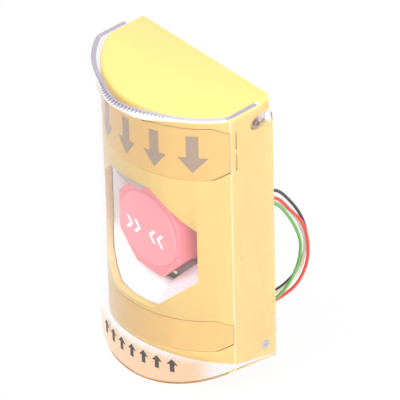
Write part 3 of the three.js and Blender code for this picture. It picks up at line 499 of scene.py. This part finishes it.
def smooth_by_angle():
    """Shades smooth and keeps the sharp edges."""
    group = bpy.data.node_groups.new("smooth_by_angle", "GeometryNodeTree")
    group.interface.new_socket("Geometry", in_out="INPUT", socket_type="NodeSocketGeometry")
    group.interface.new_socket("Geometry", in_out="OUTPUT", socket_type="NodeSocketGeometry")
    add = group.nodes.new
    start, end = add("NodeGroupInput"), add("NodeGroupOutput")
    smooth = add("GeometryNodeSetShadeSmooth")
    smooth.domain = "FACE"
    sharp = add("GeometryNodeSetShadeSmooth")
    sharp.domain = "EDGE"
    sharp.inputs["Shade Smooth"].default_value = False
    angle = add("GeometryNodeInputMeshEdgeAngle")
    wide = add("FunctionNodeCompare")
    wide.operation = "GREATER_THAN"
    wide.inputs["B"].default_value = math.radians(SMOOTH_ANGLE)
    link = group.links.new
    link(angle.outputs["Unsigned Angle"], wide.inputs["A"])
    link(wide.outputs["Result"], sharp.inputs["Selection"])
    link(start.outputs["Geometry"], smooth.inputs["Geometry"])
    link(smooth.outputs["Geometry"], sharp.inputs["Geometry"])
    link(sharp.outputs["Geometry"], end.inputs["Geometry"])
    return group


SMOOTHING = smooth_by_angle()


def dress(name, node):
    """Gives a node its material, smooth shading and, on a few, rounded edges."""
    slot = node.material_slots[0]
    slot.material = MATERIALS[slot.material.name]
    custom = node.data.attributes.get("custom_normal")
    if custom:
        node.data.attributes.remove(custom)
    weld = node.modifiers.new("weld", "WELD")
    weld.merge_threshold = WELD_REACH * MM
    if name in BEVELS:
        flat = node.modifiers.new("flat", "DECIMATE")
        flat.decimate_type = "DISSOLVE"
        flat.angle_limit = math.radians(FLAT_ANGLE)
        bevel = node.modifiers.new("bevel", "BEVEL")
        bevel.width = BEVELS[name] * MM
        bevel.segments = BEVEL_SEGMENTS
        bevel.limit_method = "ANGLE"
        bevel.angle_limit = math.radians(BEVEL_ANGLE)
        bevel.use_clamp_overlap = True
    smoothing = node.modifiers.new("smooth", "NODES")
    smoothing.node_group = SMOOTHING


for name, node in nodes.items():
    if not node.hide_render:
        dress(name, node)


# Clear cover: a fine mesh with the solid's own sizes, in millimetres, and angles in degrees
COVER_HALF, COVER_INNER_HALF = 37.9, 35.9
COVER_INNER_RADIUS = 41.91
COVER_REAR, COVER_TOP = 0.3, 61.4
CORNER_FORWARD = FRONT_CENTRE + math.sqrt(COVER_RADIUS**2 - COVER_HALF**2)
PIN = Vector((7.1, 51.9))
STUD_RADIUS, STUD_LENGTH = 1.3, 4.3
STUD_ROOT = 1  # length that lies in the cover's wall
STUD_SIDES = 32
OPEN_ANGLE = math.radians(50)
EAR_ROUND = 4
SIDE_FOOT, SIDE_RISE, LIP_FALL = -61.3, 0.155, 0.44
BRIM_FOOT, BRIM_EDGE, BRIM_REACH, FLARE_REACH = 56.8, 60.4, 3.5, 2.6
BRIM_HALF_ANGLE = math.radians(27)
GROOVES, GROOVE_PITCH, GROOVE_HALF = 27, 2.0, 0.49
GROOVE_END_LENGTH, GROOVE_LENGTH_SHARE, GROOVE_FLOOR = 0.5, 0.45, 60.9
GROOVE_WALL = 0.03  # angle that a groove's side takes
PLAIN_STEP = 1.25
CORNER_LINES = (1.9, 1.8)  # angles before the corner that keep its round crisp
CORNER_GAP = 2.2
CORNER_STEPS = 6
CORNER_START_SHARE, CORNER_END_ANGLE = 0.95, 1.7
SIDE_SHARES = (0, 0.01, 0.2, 0.45, 0.7, 0.93, 0.94)


def cover_foot(forward):
    corner = SIDE_FOOT + SIDE_RISE * CORNER_FORWARD
    if forward <= CORNER_FORWARD:
        return SIDE_FOOT + SIDE_RISE * forward
    return corner - LIP_FALL * (forward - CORNER_FORWARD)


def ear_rear(height):
    """Forward place of the ear's rear edge: an arc about the pin, a slanted line and a round."""
    if height <= PIN.y:
        return COVER_REAR
    radius = PIN.x - COVER_REAR
    end_height = PIN.y + radius * math.sin(OPEN_ANGLE)
    if height <= end_height:
        return PIN.x - math.sqrt(radius**2 - (height - PIN.y) ** 2)
    slant = lambda z: PIN.x - radius * math.cos(OPEN_ANGLE) + (z - end_height) / math.tan(OPEN_ANGLE)
    tangent = EAR_ROUND * math.tan(OPEN_ANGLE / 2)
    if height <= COVER_TOP - tangent * math.sin(OPEN_ANGLE):
        return slant(height)
    middle = slant(COVER_TOP) + tangent
    return middle - math.sqrt(max(0, EAR_ROUND**2 - (height - COVER_TOP + EAR_ROUND) ** 2))


def swell(angle):
    return max(0, 1 - (angle / BRIM_HALF_ANGLE) ** 2) ** 3


def outer_radius(angle, height, grooved):
    reach = BRIM_REACH * swell(angle)
    climb = min(1, max(0, (height - BRIM_FOOT) / (BRIM_EDGE - BRIM_FOOT)))
    length = GROOVE_END_LENGTH + GROOVE_LENGTH_SHARE * reach
    if grooved and height > GROOVE_FLOOR:
        return COVER_RADIUS + reach - length
    return COVER_RADIUS + reach * climb


def inner_radius(angle, height):
    climb = max(0, (height - BRIM_FOOT) / (COVER_TOP - BRIM_FOOT))
    return COVER_INNER_RADIUS + FLARE_REACH * swell(angle) * climb


def cover_columns():
    """Columns from one rear edge round the front to the other, as (kind, place, grooved)."""
    angles = {}
    for k in range(GROOVES):
        turn = (k - (GROOVES - 1) / 2) * GROOVE_PITCH
        angles.update({turn - GROOVE_HALF: True, turn: True, turn + GROOVE_HALF: True})
        bank = GROOVE_HALF + GROOVE_WALL
        angles.update({turn - bank: False, turn + bank: False})
        angles[turn + GROOVE_PITCH / 2] = False
    first = math.degrees(math.asin(COVER_HALF / COVER_RADIUS))
    plain = (GROOVES / 2 + 0.5) * GROOVE_PITCH
    while plain < first - CORNER_GAP:
        angles.update({plain: False, -plain: False})
        plain += PLAIN_STEP
    for near in CORNER_LINES:
        angles.update({first - near: False, near - first: False})
    turns = range(CORNER_STEPS + 1)
    columns = [("left", share, False) for share in SIDE_SHARES]
    columns += [("left_corner", k / CORNER_STEPS, False) for k in turns]
    columns += [("arc", math.radians(a), angles[a]) for a in sorted(angles)]
    columns += [("right_corner", 1 - k / CORNER_STEPS, False) for k in turns]
    return columns + [("right", share, False) for share in reversed(SIDE_SHARES)]


def corner_point(half, radius, share, height):
    """A small round where the side meets the front."""
    forward = FRONT_CENTRE + math.sqrt(radius**2 - half**2)
    rear = ear_rear(height)
    before = Vector((half, rear + CORNER_START_SHARE * (forward - rear)))
    middle = Vector((half, forward))
    angle = math.asin(half / radius) - math.radians(CORNER_END_ANGLE)
    after = Vector((radius * math.sin(angle), FRONT_CENTRE + radius * math.cos(angle)))
    return before * (1 - share) ** 2 + middle * 2 * share * (1 - share) + after * share**2


def cover_point(column, height, outside):
    kind, place, grooved = column
    half = COVER_HALF if outside else COVER_INNER_HALF
    radius = COVER_RADIUS if outside else COVER_INNER_RADIUS
    if kind == "arc":
        if not outside:
            outer_end = math.asin(COVER_HALF / COVER_RADIUS)
            place *= math.asin(COVER_INNER_HALF / COVER_INNER_RADIUS) / outer_end
        r = outer_radius(place, height, grooved) if outside else inner_radius(place, height)
        return Vector((r * math.sin(place), FRONT_CENTRE + r * math.cos(place)))
    way = -1 if kind.startswith("left") else 1
    if kind.endswith("corner"):
        x, forward = corner_point(half, radius, place, height)
        return Vector((way * x, forward))
    forward = FRONT_CENTRE + math.sqrt(radius**2 - half**2)
    rear = ear_rear(height)
    return Vector((way * half, rear + place * (forward - rear)))


# Rows of the mesh: shares from the foot to LOW_TOP, then heights, close together at the brim
LOW_ROW_SHARES = (0, 0.01, 0.3, 0.65, 1)
LOW_TOP = -54
HIGH_ROWS = (
    -40, -20, 0, 20, 38, 48, 51.9, 53, 54.2, 55.4, 56.5, 56.8, 57.1, 57.8, 58.5, 59.2, 59.8, 60.1,
    60.4, 60.65, 60.89, 60.91, 61.1, 61.25, 61.35, 61.4,
)


def cover_rows(column):
    foot = cover_foot(cover_point(column, LOW_TOP, True).y)
    return [foot + (LOW_TOP - foot) * share for share in LOW_ROW_SHARES] + list(HIGH_ROWS)


def grid_faces(rows, columns):
    """Faces of a closed band: outside, inside and the rim between them."""
    count = rows * columns
    at = lambda side, c, r: side * count + c * rows + r
    faces = []
    for c in range(columns - 1):
        for r in range(rows - 1):
            faces.append((at(0, c, r), at(0, c, r + 1), at(0, c + 1, r + 1), at(0, c + 1, r)))
            faces.append((at(1, c, r), at(1, c + 1, r), at(1, c + 1, r + 1), at(1, c, r + 1)))
        top = rows - 1
        faces.append((at(0, c, 0), at(0, c + 1, 0), at(1, c + 1, 0), at(1, c, 0)))
        faces.append((at(0, c, top), at(1, c, top), at(1, c + 1, top), at(0, c + 1, top)))
    last = columns - 1
    for r in range(rows - 1):
        faces.append((at(0, 0, r), at(1, 0, r), at(1, 0, r + 1), at(0, 0, r + 1)))
        faces.append((at(0, last, r), at(0, last, r + 1), at(1, last, r + 1), at(1, last, r)))
    return faces


def stud_solid(side):
    """The stud that turns in a hinge pin, with its root in the cover's wall."""
    bm = bmesh.new()
    length = STUD_LENGTH + STUD_ROOT
    radius = STUD_RADIUS * MM
    bmesh.ops.create_cone(
        bm, cap_ends=True, segments=STUD_SIDES, radius1=radius, radius2=radius, depth=length * MM
    )
    middle = Vector((side * (COVER_INNER_HALF + STUD_ROOT - length / 2), -PIN.x, PIN.y)) * MM
    along_x = Matrix.Rotation(math.pi / 2, 4, "Y")
    bmesh.ops.transform(bm, verts=bm.verts, matrix=Matrix.Translation(middle) @ along_x)
    return bm


def object_from(bm, name):
    mesh = bpy.data.meshes.new(name)
    bm.to_mesh(mesh)
    bm.free()
    piece = bpy.data.objects.new(name, mesh)
    bpy.context.scene.collection.objects.link(piece)
    return piece


def join_solids(piece, others):
    """Joins solids and keeps only the resulting mesh."""
    for other in others:
        step = piece.modifiers.new("join", "BOOLEAN")
        step.operation = "UNION"
        step.solver = "EXACT"
        step.object = other
    evaluated = piece.evaluated_get(bpy.context.evaluated_depsgraph_get())
    mesh = bpy.data.meshes.new_from_object(evaluated)
    piece.modifiers.clear()
    piece.data = mesh
    for other in others:
        bpy.data.objects.remove(other)


# Looks of the cover's edges, as shares of paint: the rim's cool colour, painted shade in the grooves
# and painted highlights; sizes in millimetres
SHEEN_DEPTH, SHEEN_HALF, SHEEN_BLUR, SHEEN_SHARE = 3.6, 27, 0.4, 0.85
RIM_SHARE, GROOVE_SHARE = 0.85, 0.85
# Painted highlight on the top of the rim, growing towards the right
RIM_SHEEN_SHARE, RIM_SHEEN_REACH = 0.35, 24
# Painted highlight: a pale line down each round corner
CORNER_SHARE, CORNER_BAND_SHARES = 0.35, (0.4, 0.6)
NEAR_FLOOR, NEAR_TOP = 0.1, 0.01


def sheen(x, height):
    """The painted highlight: a bright band that follows the top rim and widens under the brim."""
    low = BRIM_EDGE - SHEEN_DEPTH * max(0, 1 - (x / SHEEN_HALF) ** 2) ** 2
    return max(0, min(1, (height - low) / SHEEN_BLUR))


def paint_cover(mesh, places):
    """Stores the shares of the cool rim, the painted shade in the grooves and the painted highlights
    on the edges at each point.
    """
    kinds = ("rim", "groove", "sheen")
    shares = {kind: mesh.attributes.new(kind, "FLOAT", "POINT").data for kind in kinds}
    for k, (kind, place, grooved, x, height, outside) in enumerate(places):
        in_groove = outside and grooved and height > GROOVE_FLOOR - NEAR_FLOOR
        at_top = height > COVER_TOP - NEAR_TOP
        # Painted shade: the grooves are darker
        shares["groove"][k].value = GROOVE_SHARE if in_groove else 0
        shares["rim"][k].value = RIM_SHARE if at_top and not in_groove else 0
        # Painted highlights: a pale line on each corner, a brighter rim towards the right and a
        # bright band below the rim
        bright = 0
        if kind.endswith("corner"):
            first, last = CORNER_BAND_SHARES
            bright = CORNER_SHARE if outside and first < place < last else 0
        elif kind == "arc" and (at_top or in_groove):
            bright = RIM_SHEEN_SHARE * max(0, min(1, x / RIM_SHEEN_REACH))
        elif kind == "arc" and outside:
            bright = SHEEN_SHARE * sheen(x, height)
        shares["sheen"][k].value = bright


def make_cover():
    columns = cover_columns()
    rows = [cover_rows(column) for column in columns]
    points, places = [], []
    for outside in (True, False):
        for column, heights in zip(columns, rows):
            for height in heights:
                x, forward = cover_point(column, height, outside)
                points.append(Vector((x, -forward, height)) * MM)
                places.append((*column, x, height, outside))
    mesh = bpy.data.meshes.new("lift_cover")
    mesh.from_pydata(points, [], grid_faces(len(rows[0]), len(columns)))
    mesh.materials.append(MATERIALS["clear_cover"])
    paint_cover(mesh, places)
    bm = bmesh.new()
    bm.from_mesh(mesh)
    bmesh.ops.recalc_face_normals(bm, faces=bm.faces[:])
    bm.to_mesh(mesh)
    bm.free()
    cover = bpy.data.objects.new("lift_cover", mesh)
    bpy.context.scene.collection.objects.link(cover)
    join_solids(cover, [object_from(stud_solid(side), "stud") for side in (-1, 1)])
    cover.modifiers.new("smooth", "NODES").node_group = SMOOTHING
    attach(cover, "cover")
    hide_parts("clear_cover")


make_cover()


# Plain marks, in millimetres
MARK_LOW, MARK_HIGH = 0.01, 0.06


def arrow(x, z, width, height, shaft, head, way):
    """An arrow outline about a centre, pointing up (way 1) or down (-1)."""
    half, tip = width / 2, height / 2
    points = [
        (0, tip), (-half, tip - head), (-shaft / 2, tip - head), (-shaft / 2, -tip),
        (shaft / 2, -tip), (shaft / 2, tip - head), (half, tip - head),
    ]
    return [(x + px, z + way * pz) for px, pz in points]


def chevron(x, z, width, height, stroke, way):
    """A chevron that points right (way 1) or left (-1)."""
    half, tip = width / 2, height / 2
    points = [
        (-half, tip), (half - stroke, 0), (-half, -tip),
        (stroke - half, -tip), (half, 0), (stroke - half, tip),
    ]
    return [(x + way * px, z + pz) for px, pz in points]


def on_arc(radius):
    return lambda x, lift: FRONT_CENTRE + math.sqrt((radius + lift) ** 2 - x**2)


def on_disc(x, lift):
    return DISC_FRONT + lift


def mark(name, outlines, surface, material, body):
    """Thin raised marks that follow a surface, as one piece."""
    mesh = bpy.data.meshes.new(name)
    bm = bmesh.new()
    for outline in outlines:
        bm.faces.new([bm.verts.new((x, 0, z)) for x, z in outline])
    reach = max(abs(x) for outline in outlines for x, _ in outline)
    for k in range(-math.ceil(reach), math.ceil(reach) + 1):
        everything = bm.verts[:] + bm.edges[:] + bm.faces[:]
        bmesh.ops.bisect_plane(bm, geom=everything, plane_co=(k, 0, 0), plane_no=(1, 0, 0))
    back = bm.verts[:]
    raised = bmesh.ops.extrude_face_region(bm, geom=bm.faces[:])["geom"]
    front = [v for v in raised if isinstance(v, bmesh.types.BMVert)]
    for verts, lift in ((back, MARK_LOW), (front, MARK_HIGH)):
        for v in verts:
            v.co = Vector((v.co.x, -surface(v.co.x, lift), v.co.z)) * MM
    bmesh.ops.recalc_face_normals(bm, faces=bm.faces[:])
    bm.to_mesh(mesh)
    bm.free()
    mesh.materials.append(material)
    piece = bpy.data.objects.new(name, mesh)
    bpy.context.scene.collection.objects.link(piece)
    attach(piece, body)


PLATE_ARROW = dict(z=43.9, width=9, height=17, shaft=3.6, head=7, way=-1)
PLATE_ARROW_PLACES = (-26, -13, 0, 13, 26)
CHEVRON = dict(z=-6.4, width=4, height=6, stroke=1.7)
CHEVRON_PLACES_AND_WAYS = ((-10, 1), (-5.6, 1), (3, -1), (7.4, -1))
LIP_ARROW = dict(z=-56.5, width=4.2, height=6.2, shaft=1.7, head=2.7, way=1)
LIP_ARROW_PLACES = (-16, -10, -4, 2, 8, 14, 20)

mark(
    "plate_arrows",
    [arrow(x, **PLATE_ARROW) for x in PLATE_ARROW_PLACES],
    on_arc(FRONT_RADIUS),
    DARK_MARK,
    "housing",
)
mark(
    "button_chevrons",
    [chevron(x, way=way, **CHEVRON) for x, way in CHEVRON_PLACES_AND_WAYS],
    on_disc,
    WHITE_MARK,
    "button",
)
mark(
    "lip_arrows",
    [arrow(x, **LIP_ARROW) for x in LIP_ARROW_PLACES],
    on_arc(COVER_RADIUS),
    BLACK_MARK,
    "cover",
)


# Stage and light, in metres and watts
FLOOR_HALF, FLOOR_GAP = 8, 0.0004
FLOOR_COLOUR = (0.9, 0.9, 0.9, 1)
FLOOR_GLOW_SHARE = 0.93
LAMPS = {
    "overhead": dict(place=(-0.5, -0.9, 1.5), size=0.8, power=6),
    "front_left": dict(place=(-1.2, -1.4, 0.7), size=1.0, power=4),
    "front_right": dict(place=(1.6, -1.2, 0.2), size=1.2, power=12),
    "right": dict(place=(1.9, -0.3, 0.4), size=1.2, power=17),
}


def floor():
    """A pale floor that keeps the shadow and looks white to the camera and in gloss and glass."""
    n = Nodes("floor")
    plain = n.add("ShaderNodeBsdfDiffuse")
    plain.inputs["Color"].default_value = FLOOR_COLOUR
    glow = n.add("ShaderNodeEmission")
    path = n.add("ShaderNodeLightPath")
    seen = path.outputs["Is Camera Ray"]
    for kind in ("Is Glossy Ray", "Is Transmission Ray"):
        seen = n.math("MAXIMUM", seen, path.outputs[kind])
    share = n.add("ShaderNodeMath", operation="MULTIPLY")
    share.inputs[1].default_value = FLOOR_GLOW_SHARE
    n.join(seen, share.inputs[0])
    surface = n.blend(share.outputs[0], plain.outputs["BSDF"], glow.outputs["Emission"])
    n.join(surface, n.output.inputs["Surface"])
    mesh = bpy.data.meshes.new("floor")
    height = cad_bounds[0][2] - FLOOR_GAP
    half = FLOOR_HALF
    corners = [(-half, -half), (half, -half), (half, half), (-half, half)]
    mesh.from_pydata([(x, y, height) for x, y in corners], [], [(0, 1, 2, 3)])
    mesh.materials.append(n.material)
    piece = bpy.data.objects.new("floor", mesh)
    bpy.context.scene.collection.objects.link(piece)


def lamp(name, place, size, power):
    """A square lamp that points at the object."""
    data = bpy.data.lights.new(name, "AREA")
    data.shape = "SQUARE"
    data.size = size
    data.energy = power
    piece = bpy.data.objects.new(name, data)
    piece.location = place
    piece.rotation_euler = (-Vector(place)).to_track_quat("-Z", "Y").to_euler()
    bpy.context.scene.collection.objects.link(piece)


floor()
world = bpy.data.worlds.new("studio")
world.use_nodes = True
background = world.node_tree.nodes["Background"]
background.inputs["Color"].default_value = (1, 1, 1, 1)
background.inputs["Strength"].default_value = 1.0
bpy.context.scene.world = world
for name, look in LAMPS.items():
    lamp(name, **look)
bpy.context.scene.view_settings.view_transform = "Standard"
